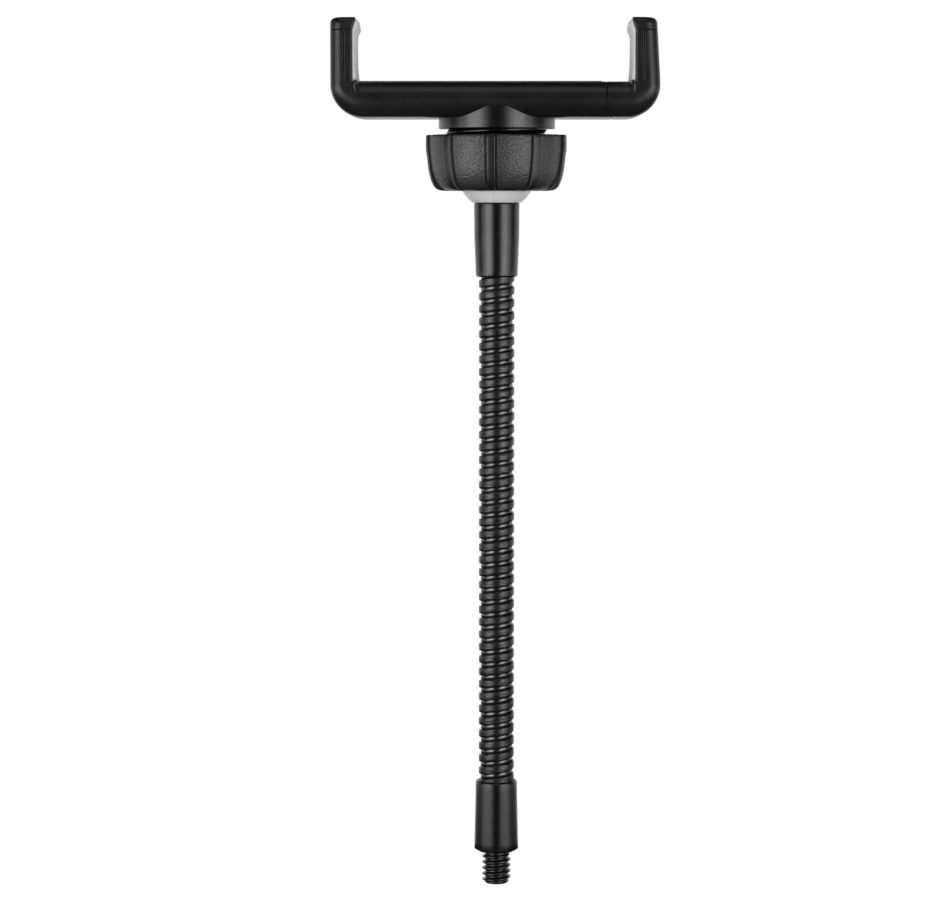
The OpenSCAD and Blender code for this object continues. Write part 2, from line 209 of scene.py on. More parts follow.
class Finish(Nodes):
    """A material with one Principled surface, and the nodes that vary it."""

    def __init__(self, name, **constants):
        self.material = bpy.data.materials.new(name)
        self.material.use_nodes = True
        super().__init__(self.material.node_tree)
        self.surface = self.tree.nodes["Principled BSDF"]
        self.feed(self.surface, {words.replace("_", " "): value for words, value in constants.items()})
        self.place = self.node("ShaderNodeTexCoord", output="Object")

    def noise(self, size, detail, stretch=(1, 1, 1)):
        """Cloudy noise from 0 to 1, with blotches of about the given size in metres."""
        place = self.node("ShaderNodeVectorMath", {"operation": "MULTIPLY"}, {0: self.place, 1: stretch})
        return self.node("ShaderNodeTexNoise", {}, {"Vector": place, "Scale": 1 / size, "Detail": detail})

    def pebbles(self, size):
        """Soft cells, from 0 in their middles up, of about the given size in metres."""
        return self.node(
            "ShaderNodeTexVoronoi", {"feature": "SMOOTH_F1"}, {"Vector": self.place, "Scale": 1 / size},
            output="Distance",
        )

    def step(self, value, low, high):
        """0 below low, 1 above high, and an even rise between."""
        return self.node("ShaderNodeMapRange", {}, {"Value": value, "From Min": low, "From Max": high})

    def colour_between(self, factor, one, other):
        colour = self.node(
            "ShaderNodeMix", {"data_type": "RGBA"}, {0: factor, 6: (*one, 1), 7: (*other, 1)}, output=2,
        )
        self.feed(self.surface, {"Base Color": colour})

    def roughness_between(self, factor, low, high):
        self.feed(self.surface, {"Roughness": factor * (high - low) + low})

    def bump(self, height, depth, strength=1.0):
        """Relief of the given depth in metres, from a height of 0 to 1."""
        relief = self.node(
            "ShaderNodeBump", {}, {"Height": height, "Distance": depth, "Strength": strength},
            output="Normal",
        )
        self.feed(self.surface, {"Normal": relief})


def matt_plastic():
    """Moulded black plastic with a fine spark-eroded grain and a little handling sheen."""
    finish = Finish("matt_black_plastic", IOR=1.46, Specular_IOR_Level=0.42)
    grain = finish.noise(0.3 * MM, 3)
    rubbed = finish.step(finish.noise(5 * MM, 4), 0.42, 0.72)
    finish.colour_between(rubbed, (0.005, 0.005, 0.0051), (0.009, 0.009, 0.0092))
    finish.roughness_between(grain * 0.5 + rubbed * 0.5, 0.27, 0.37)
    finish.bump(grain, 0.055 * MM)
    return finish.material


def gloss_plastic():
    """Polished black, with faint flow lines and a few hairline rubs."""
    finish = Finish("gloss_black", IOR=1.5)
    flow = finish.noise(3 * MM, 2, (1, 1, 0.25))
    hairs = finish.step(finish.noise(0.35 * MM, 4, (1, 1, 0.05)), 0.55, 0.8)
    finish.colour_between(flow, (0.0012, 0.0012, 0.0013), (0.0022, 0.0022, 0.0023))
    finish.roughness_between(hairs * 0.6 + flow * 0.4, 0.24, 0.34)
    finish.bump(flow, 0.015 * MM, 0.5)
    return finish.material


def grained_plastic():
    """Soft black plastic with a leather grain, for the grip panels, with painted shade darkening the grain's
    hollows.
    """
    finish = Finish("leather_grained_plastic", IOR=1.5, Specular_IOR_Level=0.7)
    creases = finish.step(finish.noise(0.45 * MM, 4), 0.3, 0.75)
    depth = finish.pebbles(0.38 * MM) * 0.65 + creases * 0.35
    # Painted shade: the deeper the grain, the darker its colour, so the hollows look shaded.
    finish.colour_between(depth, (0.018, 0.018, 0.0183), (0.010, 0.010, 0.0102))
    finish.roughness_between(creases, 0.36, 0.52)
    finish.bump(1 - depth, 0.12 * MM)
    return finish.material


def rib_plastic():
    """The same plastic on the ribs, smooth from the mould."""
    finish = Finish("smooth_black_plastic", IOR=1.48, Specular_IOR_Level=0.55)
    cloud = finish.noise(1.2 * MM, 3)
    finish.colour_between(cloud, (0.003, 0.003, 0.0031), (0.005, 0.005, 0.0051))
    finish.roughness_between(cloud, 0.30, 0.44)
    finish.bump(cloud, 0.02 * MM, 0.5)
    return finish.material


def coated_steel(name, ior, smoothest, roughest, lines):
    """Black-coated wire: a thin hard coat over drawn steel, with drawing lines of the given depth."""
    finish = Finish(name, IOR=ior)
    drawn = finish.step(finish.noise(3 * MM, 2, (1, 1, 8)), 0.35, 0.65)
    cloud = finish.noise(2.5 * MM, 3)
    finish.colour_between(cloud, (0.003, 0.003, 0.003), (0.0048, 0.0048, 0.0048))
    finish.roughness_between(drawn * 0.5 + cloud * 0.5, smoothest, roughest)
    finish.bump(drawn, lines)
    return finish.material


def bright_steel():
    """Drawn spring and screw steel."""
    finish = Finish("bright_steel", Metallic=1.0)
    drawn = finish.noise(0.3 * MM, 3)
    finish.colour_between(drawn, (0.50, 0.50, 0.51), (0.66, 0.66, 0.67))
    finish.roughness_between(drawn, 0.22, 0.36)
    finish.bump(drawn, 0.01 * MM, 0.4)
    return finish.material


def grey_plastic():
    """Pale grey moulded plastic, satin where the socket has polished it."""
    finish = Finish("pale_grey_plastic", IOR=1.46)
    cloud = finish.noise(2.2 * MM, 4)
    rubs = finish.step(finish.noise(0.5 * MM, 3, (1, 1, 0.3)), 0.5, 0.8)
    finish.colour_between(cloud, (0.44, 0.44, 0.445), (0.50, 0.50, 0.504))
    finish.roughness_between(rubs, 0.34, 0.5)
    finish.bump(rubs, 0.012 * MM, 0.5)
    return finish.material


def silicone():
    """Soft pale silicone with a dusty, fine surface."""
    finish = Finish("grey_silicone", IOR=1.41)
    dust = finish.noise(0.3 * MM, 4)
    cloud = finish.noise(4 * MM, 2)
    finish.colour_between(cloud, (0.62, 0.62, 0.615), (0.70, 0.70, 0.692))
    finish.roughness_between(dust, 0.5, 0.68)
    finish.bump(dust, 0.02 * MM, 0.5)
    return finish.material


matt = matt_plastic()
gloss = gloss_plastic()
grained = grained_plastic()
smooth_rib = rib_plastic()
wrap_steel = coated_steel("black_coated_wrap", ior=1.55, smoothest=0.24, roughest=0.38, lines=0.042 * MM)
coil_steel = coated_steel("black_coated_coil", ior=1.86, smoothest=0.2, roughest=0.26, lines=0.006 * MM)
stud_steel = coated_steel("black_coated_stud", ior=1.75, smoothest=0.18, roughest=0.26, lines=0.004 * MM)
steel = bright_steel()
pale = grey_plastic()
soft = silicone()


def add_piece(name, verts, faces, materials, body, sharp=35):
    """A mesh piece, smooth shaded up to the given angle, and attached to its body if it is given one."""
    mesh = bpy.data.meshes.new(name)
    mesh.from_pydata(verts, [], faces)
    for material in materials:
        mesh.materials.append(material)
    joined = bmesh.new()
    joined.from_mesh(mesh)
    bmesh.ops.remove_doubles(joined, verts=joined.verts, dist=1e-7)
    bmesh.ops.recalc_face_normals(joined, faces=joined.faces)
    joined.to_mesh(mesh)
    joined.free()
    mesh.set_sharp_from_angle(angle=math.radians(sharp))
    mesh.polygons.foreach_set("use_smooth", [True] * len(mesh.polygons))
    piece = bpy.data.objects.new(name, mesh)
    bpy.context.collection.objects.link(piece)
    if body:
        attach(piece, body)
    return piece


def ring_faces(rings, around, closed=True):
    """Quads between rings of points that lie one after another."""
    steps = around if closed else around - 1
    return [
        (i * around + j, i * around + (j + 1) % around,
         (i + 1) * around + (j + 1) % around, (i + 1) * around + j)
        for i in range(rings - 1) for j in range(steps)
    ]


def closed_faces(rings, around):
    """Quads between rings of points, and one face over each end."""
    last = (rings - 1) * around
    return ring_faces(rings, around) + [tuple(range(around)), tuple(range(last, last + around))]


def even_angles(count):
    return [TURN * j / count for j in range(count)]


def swept_wire(outline, first_turn, turns, per_turn):
    """Points and faces of a wire wound about Z, from its outline of (radius, height) points."""
    rings = round(turns * per_turn) + 1
    verts = []
    for i in range(rings):
        turn = first_turn + turns * i / (rings - 1)
        angle = TURN * (turn + neck_phase)
        for radius, height in outline:
            z = neck_start + height + turn * neck_pitch
            verts.append((radius * math.cos(angle), radius * math.sin(angle), z))
    return verts, closed_faces(rings, len(outline))


def round_outline():
    """The inner wire's outline: a circle."""
    return [
        (coil_r + coil_wire_r * math.cos(angle), coil_wire_r * math.sin(angle))
        for angle in even_angles(12)
    ]


def keystone_outline():
    """The outer wire's outline: a crowned face with soft shoulders, tapering to its root."""
    middle = neck_pitch / 2
    face_and_root = [
        (0, 0), (0.004, 0.42), (0.02, 0.6), (0.07, 0.74), (0.18, 0.83), (0.36, 0.88), (1.2, 0.25),
    ]
    half = [(neck_r - inward * MM, height * MM) for inward, height in face_and_root]
    below = [(radius, middle - height) for radius, height in reversed(half[1:])]
    return below + [(radius, middle + height) for radius, height in half]


def add_gooseneck():
    """Both wires, each in a lower and an upper half."""
    wires = {
        "coil": {"outline": round_outline(), "material": coil_steel, "per_turn": 40},
        "wrap": {"outline": keystone_outline(), "material": wrap_steel, "per_turn": 56},
    }
    halves = {
        "low": {"first": -hidden_turns, "bodies": ("base", "neck"), "start": neck_start, "end": neck_middle},
        "high": {"first": neck_turns / 2, "bodies": ("neck", "stem"), "start": neck_middle, "end": neck_end},
    }
    turns = neck_turns / 2 + hidden_turns
    for wire, made in wires.items():
        for half, bend in halves.items():
            verts, faces = swept_wire(made["outline"], bend["first"], turns, made["per_turn"])
            piece = add_piece(f"{wire}_{half}", verts, faces, [made["material"]], None)
            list(bend["bodies"])
            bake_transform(piece)
            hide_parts(f"gooseneck_{wire}")


def v_thread(z, angle, pitch):
    """Height of a right-hand V thread, from 0 at the root to 1 at the crest."""
    flat = 0.14
    phase = (z / pitch - angle / TURN) % 1
    ramp = 1 - abs(2 * phase - 1)
    return min(1, max(0, (ramp - flat) / (1 - 2 * flat)))


def add_stud():
    """The stud with its cut thread, run out under the shoulder and chamfered at the tip."""
    around = 72
    rings = 150
    chamfer = 0.75 * MM
    runout = 0.9 * MM
    undercut_r = thread_root + 0.1 * MM
    shank_r = thread_crest - 0.4 * MM
    step_up = 0.001 * MM

    def radius_at(z, angle):
        if z > 0:
            return shank_r
        cut = thread_root + thread_depth * v_thread(z, angle, thread_pitch)
        fade = smooth_step(-runout, -0.45 * runout, z)
        under = thread_root * (1 - fade) + undercut_r * fade
        return min(cut * (1 - fade) + under * fade, thread_crest - chamfer + (z - stud_low.z))

    heights = [stud_low.z * (1 - i / rings) for i in range(rings + 1)] + [step_up, stud_high.z]
    verts = []
    for z in heights:
        for angle in even_angles(around):
            radius = radius_at(z, angle)
            verts.append((radius * math.cos(angle), radius * math.sin(angle), z))
    faces = closed_faces(len(heights), around)
    piece = add_piece("threaded_stud_cut", verts, faces, [stud_steel], "base", 50)
    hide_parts("threaded_stud")


def arc_points(centre, radius, start, end, steps):
    """Points of an arc, its angles in degrees."""
    angles = [math.radians(start + (end - start) * i / steps) for i in range(steps + 1)]
    return [(centre[0] + radius * math.cos(angle), centre[1] + radius * math.sin(angle)) for angle in angles]


def smooth_path(points, per_step):
    """More points on a smooth curve through the given ones."""
    ends = [points[0], *points, points[-1]]
    path = []
    for i in range(1, len(ends) - 2):
        a, b, c, d = (Vector(point) for point in ends[i - 1:i + 3])
        for k in range(per_step):
            t = k / per_step
            path.append(0.5 * (2 * b + t * (c - a) + t * t * (2 * a - 5 * b + 4 * c - d)
                               + t ** 3 * (3 * b - a - 3 * c + d)))
    return path + [Vector(points[-1])]


def lathe(name, profile_at, angles, materials, body, sharp):
    """A turned piece whose closed profile, in (radius, height) millimetres, may vary with the angle."""
    rings = list(zip(*[profile_at(angle) for angle in angles]))
    around = len(angles)
    verts = [
        (radius * MM * math.cos(angle), radius * MM * math.sin(angle), z * MM)
        for ring in rings for (radius, z), angle in zip(ring, angles)
    ]
    last = (len(rings) - 1) * around
    faces = ring_faces(len(rings), around)
    faces += [(last + j, last + (j + 1) % around, (j + 1) % around, j) for j in range(around)]
    return add_piece(name, verts, faces, materials, body, sharp)


def rib_share(off):
    """1 on a rib's crown, 0 on a panel and less in the groove between them, off from the rib's middle."""
    rounding = 0.7
    groove = 0.25
    side = rib_w / 2
    wall = side + rib_wall
    if off <= side - rib_edge:
        return 1.0
    if off < side:
        return 1 - rounding * (1 - math.sqrt(1 - ((off - side + rib_edge) / rib_edge) ** 2))
    if off < wall:
        return 1 - rounding - (1 - rounding + groove) * smooth_step(side, wall, off)
    return -groove * (1 - smooth_step(side + groove_floor, side + groove_w, off))


def rib_offset(angle):
    """Distance round the knob from the middle of the nearest rib."""
    step = TURN / rib_count
    return abs((angle - first_rib + step / 2) % step - step / 2) * knob_r


def knob_angles():
    """Angles round the knob, close together where the ribs' edges turn."""
    side = rib_w / 2
    panel_steps = 14
    panel_middle = TURN * knob_r / rib_count / 2
    panel_w = panel_middle - side - groove_w
    offs = [panel_middle - panel_w * i / panel_steps for i in range(panel_steps)]
    offs += [side + beyond * MM for beyond in (0.3, 0.24, 0.18, 0.12, 0.08, 0.04, 0)]
    offs += [side - rib_edge * (1 - math.sin(math.radians(turn))) for turn in (72, 54, 36, 18)]
    offs += [side - rib_edge, 0.4 * side, 0.2 * side]
    angles = []
    for rib in range(rib_count):
        middle = first_rib + rib * TURN / rib_count
        angles += [middle - off / knob_r for off in offs] + [middle]
        angles += [middle + off / knob_r for off in reversed(offs[1:])]
    return angles


def add_knob():
    """The knob: ribs with rounded edges, and grained panels whose foot rolls in more softly."""
    foot = knob_low.z / MM
    top = knob_high.z / MM
    height = 12
    crown_r = knob_r / MM
    panel_r = crown_r - panel_depth / MM
    edge = 0.35
    rib_side = smooth_path([
        (8.0, 0), (10.2, 0.02), (11.9, 0.1), (12.9, 0.42), (13.6, 1.1), (14.2, 2.4), (14.6, 4),
        (14.85, 5.6), (15.02, 7.2), (crown_r, 9), (crown_r, height - edge),
    ], 4)
    panel_side = smooth_path([
        (8.0, 0), (9.6, 0.03), (10.9, 0.15), (11.9, 0.55), (12.75, 1.3), (13.4, 2.5), (13.9, 4),
        (14.2, 5.6), (14.38, 7.2), (panel_r, 9), (panel_r, height - 0.6 * edge),
    ], 4)
    bore_r = 10.95
    bore_edge = 0.3
    bore = [(bore_r + bore_edge, top), (bore_r, top - bore_edge), (bore_r, top - 9.2)]
    throat = [(9.2, foot + 1.2), (7.9, foot + 0.4)]

    def profile_at(angle):
        share = rib_share(rib_offset(angle))
        side = [panel.lerp(rib, share) for panel, rib in zip(panel_side, rib_side)]
        rim_r = side[-1].x
        points = [(radius, foot + z) for radius, z in side]
        points += [(rim_r - 0.3 * edge, top - 0.3 * edge), (rim_r - edge, top)]
        return points + bore + throat

    grain_from_r = 11.8 * MM
    grain_below_share = 0.2
    plain_rim = 0.2 * MM
    piece = lathe(
        "ribbed_knob", profile_at, knob_angles(), [smooth_rib, grained], "knob", 50,
    )
    for face in piece.data.polygons:
        x, y, z = face.center
        outside = math.hypot(x, y) > grain_from_r and z < knob_high.z - plain_rim
        on_panel = rib_share(rib_offset(math.atan2(y, x))) < grain_below_share
        face.material_index = 1 if outside and on_panel else 0
    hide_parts("knob")


def saddle_z(y):
    """Height of the bar's underside over a point y from its middle, in millimetres."""
    into_edge = max(0, abs(y) - (clamp_half - edge_r))
    return min(bar_top - edge_r - arc_rise(edge_r, into_edge), saddle_top)


def add_socket():
    """The socket: the thread for the knob, and the flange whose top is saddled to the bar."""
    pitch = 2.2
    crest = 10.85
    root = 10.3
    core = 9.8
    edge = 0.15
    skirt_in_knob = 1.1
    skirt_over_knob = 1.3
    low = knob_high.z / MM - skirt_in_knob
    flange_z = knob_high.z / MM + skirt_over_knob
    flange_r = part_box("socket")[1].x / MM
    thread_steps = 24
    top_steps = 16
    flange_edge = arc_points((flange_r - edge, flange_z + edge), edge, -90, 0, 4)

    def profile_at(angle):
        points = [(core, low)]
        for i in range(thread_steps + 1):
            z = low + (flange_z - low) * i / thread_steps
            points.append((root + (crest - root) * v_thread(z, angle, pitch), z))
        points += flange_edge
        for i in range(top_steps):
            radius = flange_r * (1 - i / top_steps)
            points.append((radius, saddle_z(radius * math.sin(angle))))
        return points

    piece = lathe("saddled_socket", profile_at, even_angles(360), [gloss], "head", 50)
    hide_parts("socket")


# The clamp's shells, worked in millimetres as for an arm that stands at +X
def form_of(depth, inner, inner_r, face, face_r):
    """What a section keeps to: half its depth, and the place and corner radius of either side."""
    return {"depth": depth, "inner": inner, "inner_r": inner_r, "face": face, "face_r": face_r}


def half_depth_at(u, form):
    """Half the depth, front to back, at a distance u outwards in a form with rounded corners."""
    half = form["depth"]
    for radius, into in (
        (form["face_r"], u - form["face"] + form["face_r"]),
        (form["inner_r"], form["inner"] + form["inner_r"] - u),
    ):
        if into > 0:
            half = min(half, form["depth"] - radius + arc_rise(radius, into))
    return half


def section(low, high, form, cut_low=0.0, cut_high=0.0, inset=0.0):
    """Points round the slab of a form between two distances, with a small chamfer on its cut edges."""
    side_steps = 28
    across_steps = 6
    form = dict(form, depth=form["depth"] - inset)
    low += inset
    high -= inset
    side = []
    for i in range(side_steps + 1):
        u = low + (high - low) * (1 - math.cos(math.pi * i / side_steps)) / 2
        y = half_depth_at(u, form)
        if cut_low:
            y = min(y, half_depth_at(low, form) - cut_low + u - low)
        if cut_high:
            y = min(y, half_depth_at(high, form) - cut_high + high - u)
        side.append((u, y))
    across = [1 - 2 * (i + 1) / (across_steps + 1) for i in range(across_steps)]
    over = [(high, side[-1][1] * share) for share in across]
    under = [(low, -side[0][1] * share) for share in across]
    return side + over + [(u, -y) for u, y in reversed(side)] + under


def add_shell(name, node, arm, rings, material):
    """A closed mesh over rings of points, on the arm's own side and body, in place of a node."""
    verts = [(arm["side"] * x * MM, y * MM, z * MM) for ring in rings for x, y, z in ring]
    faces = closed_faces(len(rings), len(rings[0]))
    piece = add_piece(name, verts, faces, [material], arm["body"], 38)
    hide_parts(node)


def level_ring(arm, z, points):
    """A section of an arm, laid level at height z."""
    return [(arm["inner_x"] + u, y, z) for u, y in points]


def arm_form(arm, z):
    """The form of an arm at height z, where its face leans in with the height."""
    lean = arm["lean"] * max(0, z - bar_top) / (tip_z - bar_top)
    return form_of(clamp_half, 0, strip_edge, arm["thick"] - lean, arm_r)


def elbow_rings(arm):
    """From the bar's end round the elbow to the arm's foot, on lines from its inner to its outer side."""
    steps = 24
    pivot_x = arm["reach"] - elbow_r
    pivot_z = bar_top - bar_h + elbow_r
    rings = []
    for i in range(steps + 1):
        share = i / steps
        angle = math.pi / 2 * share
        inner = Vector((pivot_x + (arm["inner_x"] - pivot_x) * share, bar_top))
        outer = Vector((pivot_x + elbow_r * math.sin(angle), pivot_z - elbow_r * math.cos(angle)))
        out = (outer - inner).normalized()
        length = (outer - inner).length
        inner_r = max(strip_edge, edge_r * (1 - smooth_step(0.1, 0.8, share)))
        face_r = edge_r + (arm_r - edge_r) * smooth_step(0.3, 1, share)
        points = section(0, length, form_of(clamp_half, 0, inner_r, length, face_r))
        rings.append([(inner.x + out.x * u, y, inner.y + out.y * u) for u, y in points])
    return rings


def strip_seam(z):
    """Distance out to the seam between the strip and the shell, which curves out under the cap."""
    rise = max(0, z - (cap_z - seam_fillet))
    return strip_t + seam_fillet - arc_rise(seam_fillet, rise)


def add_end(name, node, arm, seam_x, seam_bow, hollow):
    """The bar from the seam, its elbow and its arm up to the cap, in one shell that is hollow up to a given
    place. The seam's foot bows towards the jaw's arm, on a given radius."""

    def bar_ring(x, points, share):
        """A section of the bar, upright at x, with a share of the seam's bow."""
        ring = []
        for u, y in points:
            bow = seam_bow - arc_rise(seam_bow, max(0, u - (bar_h - seam_r)))
            ring.append((x + share * arm["side"] * bow, y, bar_top - u))
        return ring

    bar = form_of(clamp_half, 0, edge_r, bar_h, edge_r)
    corner = 0.3
    channel = form_of(channel_half, channel_high, corner, channel_low, corner)
    mouth = section(channel_high, channel_low, channel)
    rings = [bar_ring(hollow, mouth, 0), bar_ring(seam_x, mouth, 1)]
    rings.append(bar_ring(seam_x, section(0, bar_h, bar, inset=seam_edge), 1))
    bar_from = seam_x + seam_edge
    bar_length = arm["reach"] - elbow_r - bar_from
    bar_steps = 14
    for i in range(bar_steps):
        share = i / bar_steps
        rings.append(bar_ring(bar_from + bar_length * share, section(0, bar_h, bar), (1 - share) ** 2))
    rings += elbow_rings(arm)
    foot = arm_form(arm, bar_top)
    rings.append(level_ring(arm, bar_top, section(0, foot["face"], foot)))
    arm_steps = 19
    arm_length = cap_z - seam_gap - seam_edge - bar_top
    for i in range(arm_steps + 1):
        z = bar_top + arm_length * (i / arm_steps) ** 0.6
        form = arm_form(arm, z)
        rings.append(level_ring(arm, z, section(strip_seam(z) + seam_gap, form["face"], form, seam_edge)))
    form = arm_form(arm, cap_z)
    top = section(strip_seam(cap_z) + seam_gap, form["face"], form, seam_edge, inset=seam_edge)
    rings.append(level_ring(arm, cap_z - seam_gap, top))
    add_shell(name, node, arm, rings, matt)


def add_trim(name, node, arm):
    """The strip down an arm's inner side and the cap over its tip, in one piece."""

    def hooked(z, inset, back):
        """The cap at height z, smaller by the inset, with its lip hooked inwards and then drawn back."""
        hook = lip * smooth_step(tip_z - 2.8, tip_z - 0.4, z) - back
        form = arm_form(arm, z)
        face = form["face"] - inset
        form = dict(form, depth=form["depth"] - inset, face=face, inner=-hook)
        return level_ring(arm, z, section(-hook, face, form))

    rings = []
    strip_steps = 17
    for i in range(strip_steps + 1):
        z = bar_top + (cap_z - bar_top) * (i / strip_steps) ** 0.5
        form = arm_form(arm, z)
        rings.append(level_ring(arm, z, section(0, strip_seam(z) - seam_gap, form, 0, seam_edge)))
    form = arm_form(arm, cap_z)
    rings.append(level_ring(arm, cap_z, section(0, form["face"], form, inset=seam_edge)))
    rings += [hooked(z, 0, 0) for z in (cap_z + seam_edge, cap_z + 0.5, cap_z + 0.9, tip_z - tip_r)]
    tip_steps = 12
    for i in range(1, tip_steps + 1):
        angle = math.pi / 2 * i / tip_steps
        z = tip_z - tip_r + tip_r * math.sin(angle)
        rings.append(hooked(z, tip_r * (1 - math.cos(angle)), 0.1 * smooth_step(tip_z - 0.15, tip_z, z)))
    add_shell(name, node, arm, rings, matt)


def add_pad(name, node, arm):
    """A silicone pad with rounded edges, whose top swells into a soft lip."""
    foot = bar_top + 0.28
    flat = 0.26
    edge = 0.25
    lip_edge = 0.9
    sunk = 0.12
    outline = smooth_path([
        (0.04, foot), (0.45, foot + 0.06), (0.58, foot + 0.35), (0.45, foot + 1.6), (0.3, foot + 3.6),
        (flat, tip_z - 4.2), (0.3, tip_z - 3.4), (0.5, tip_z - 2.7), (0.78, tip_z - 2.15),
        (0.88, tip_z - 1.7), (0.84, tip_z - 1.15), (0.74, tip_z - 0.7), (0.62, tip_z - 0.42),
        (0.4, tip_z - 0.27), (0.04, tip_z - 0.24),
    ], 4)
    rings = []
    for proud, z in outline:
        narrower = lip_edge * smooth_step(tip_z - 1.1, tip_z - 0.1, z) + edge * (1 - min(1, proud / flat))
        form = form_of(pad_half - narrower, -proud, min(0.6, proud + 0.1), sunk, 0)
        rings.append(level_ring(arm, z, section(-proud, sunk, form)))
    add_shell(name, node, arm, rings, soft)


def extrude_outline(mesh, outline, holes, low, high):
    """Adds a plate of the given outline, with holes, to a bmesh. Millimetres."""
    edges = []
    for loop in (outline, *holes):
        verts = [mesh.verts.new((x * MM, y * MM, low * MM)) for x, y in loop]
        edges += [mesh.edges.new((verts[i - 1], verts[i])) for i in range(len(verts))]
    faces = bmesh.ops.triangle_fill(mesh, edges=edges, use_beauty=True, use_dissolve=True)["geom"]
    faces = [item for item in faces if isinstance(item, bmesh.types.BMFace)]
    lifted = bmesh.ops.extrude_face_region(mesh, geom=faces)["geom"]
    lifted = [item for item in lifted if isinstance(item, bmesh.types.BMVert)]
    bmesh.ops.translate(mesh, verts=lifted, vec=(0, 0, (high - low) * MM))


def add_tongue():
    """The tongue that slides in the bar, with the slot for its stop, and the lugs that pull the springs."""
    mesh = bmesh.new()
    low = channel_floor + play
    high = channel_roof - play
    root_x = seam + 0.6
    corner = 0.8
    peg_r = 0.8
    lug_start = -8.6
    lug_end = -3
    lug_in = 6
    lug_out = 9.8
    lug_t = 0.8
    outline = arc_points((tongue_end + corner, corner - tongue_half), corner, -180, -90, 5)
    outline += [(root_x, -tongue_half), (root_x, tongue_half)]
    outline += arc_points((tongue_end + corner, tongue_half - corner), corner, 90, 180, 5)
    slot = arc_points((stop_x - jaw_travel, 0), slot_r, 90, 270, 16)
    slot += arc_points((stop_x, 0), slot_r, -90, 90, 16)
    extrude_outline(mesh, outline, [slot], low, high)
    for side in (-1, 1):
        inner = side * lug_in
        outer = side * lug_out
        lug = [(lug_start, inner), (lug_end, inner), (lug_end, outer), (lug_start, outer)]
        extrude_outline(mesh, lug, [], low, low + lug_t)
        peg = arc_points((spring_peg_x, side * spring_y), peg_r, 0, 345, 23)
        extrude_outline(mesh, peg, [], low, high)
    bmesh.ops.recalc_face_normals(mesh, faces=mesh.faces)
    data = bpy.data.meshes.new("jaw_tongue")
    mesh.to_mesh(data)
    mesh.free()
    data.materials.append(matt)
    piece = bpy.data.objects.new("jaw_tongue", data)
    bpy.context.collection.objects.link(piece)
    bevel = piece.modifiers.new("soft_edges", "BEVEL")
    bevel.width = 0.12 * MM
    bevel.segments = 2
    bevel.limit_method = "ANGLE"
    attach(piece, "jaw")


def tube(path, radius):
    """Points and faces of a round wire along a path."""
    sides = 8
    verts = []
    normal = Vector((0, 0, 1))
    for i, point in enumerate(path):
        along = (path[min(i + 1, len(path) - 1)] - path[max(i - 1, 0)]).normalized()
        normal = (normal - along * normal.dot(along)).normalized()
        other = along.cross(normal)
        for j in range(sides):
            angle = TURN * j / sides
            verts.append(point + radius * (math.cos(angle) * normal + math.sin(angle) * other))
    return verts, closed_faces(len(path), sides)


def add_springs():
    """The two tension springs between the body's pins and the jaw's pegs."""
    wire_r = 0.23
    spring_r = 1.42
    spring_pitch = 0.5
    loop_r = 1.1
    loop_room = 1.35
    loop_sweep = 300
    loop_steps = 20
    per_turn = 20
    start = anchor_x + loop_room
    end = spring_peg_x - loop_room
    steps = round((end - start) / spring_pitch) * per_turn
    middle_z = (channel_floor + channel_roof) / 2
    line = [(x, y, 0) for x, y in arc_points((anchor_x, 0), loop_r, 40, 40 + loop_sweep, loop_steps)]
    for i in range(steps + 1):
        angle = TURN * i / per_turn
        turns_from_end = min(i, steps - i) / per_turn
        radius = spring_r * (0.5 + 0.5 * min(1, turns_from_end))
        line.append((start + (end - start) * i / steps, radius * math.cos(angle), radius * math.sin(angle)))
    line += [(x, y, 0) for x, y in arc_points((spring_peg_x, 0), loop_r, 180, 180 + loop_sweep, loop_steps)]
    for node, side in (("spring_front", -1), ("spring_rear", 1)):
        place = Vector((0, side * spring_y, middle_z))
        verts, faces = tube([(Vector(point) + place) * MM for point in line], wire_r * MM)
        piece = add_piece(f"{node}_wire", verts, faces, [steel], None, 60)
        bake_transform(piece)
        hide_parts(node)


def add_ball():
    """The ball, with the fine lines where its mould halves and gates met."""
    lines = 6
    first_line = math.radians(-97)
    line_depth = 0.1
    line_half = 0.05
    line_edge = 0.22
    measured_r = 6
    ball_r = (ball_high.x - ball_low.x) / 2 / MM
    centre = ball_z / MM
    ferrule_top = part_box("upper_ferrule")[1].z / MM
    clear = 0.06
    hollow = 0.8
    seat = ferrule_top - hollow + clear
    start = math.asin((seat - centre) / ball_r)
    end = math.radians(89.5)
    steps = 48

    def profile_at(angle):
        between = TURN / lines
        off = abs((angle - first_line + between / 2) % between - between / 2) * measured_r
        radius = ball_r - line_depth * (1 - smooth_step(line_half, line_edge, off))
        points = [(0.4, ferrule_top + clear), (2.5, ferrule_top + clear), (4.6, seat)]
        for i in range(steps + 1):
            latitude = start + (end - start) * i / steps
            points.append((radius * math.cos(latitude), centre + radius * math.sin(latitude)))
        return points

    piece = lathe("ball_with_lines", profile_at, even_angles(540), [pale], "ball", 40)
    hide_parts("ball")


def soften(name, width, segments):
    """Rounds the sharp edges of a CAD node, which also opens the seam beside it to a fine line."""
    node = frame["nodes"][name]
    weld = node.modifiers.new("join_faces", "WELD")
    weld.merge_threshold = 1e-6
    bevel = node.modifiers.new("soft_edges", "BEVEL")
    bevel.width = width
    bevel.segments = segments
    bevel.limit_method = "ANGLE"
    bevel.angle_limit = math.radians(32)
    bevel.use_clamp_overlap = True
    bevel.harden_normals = True


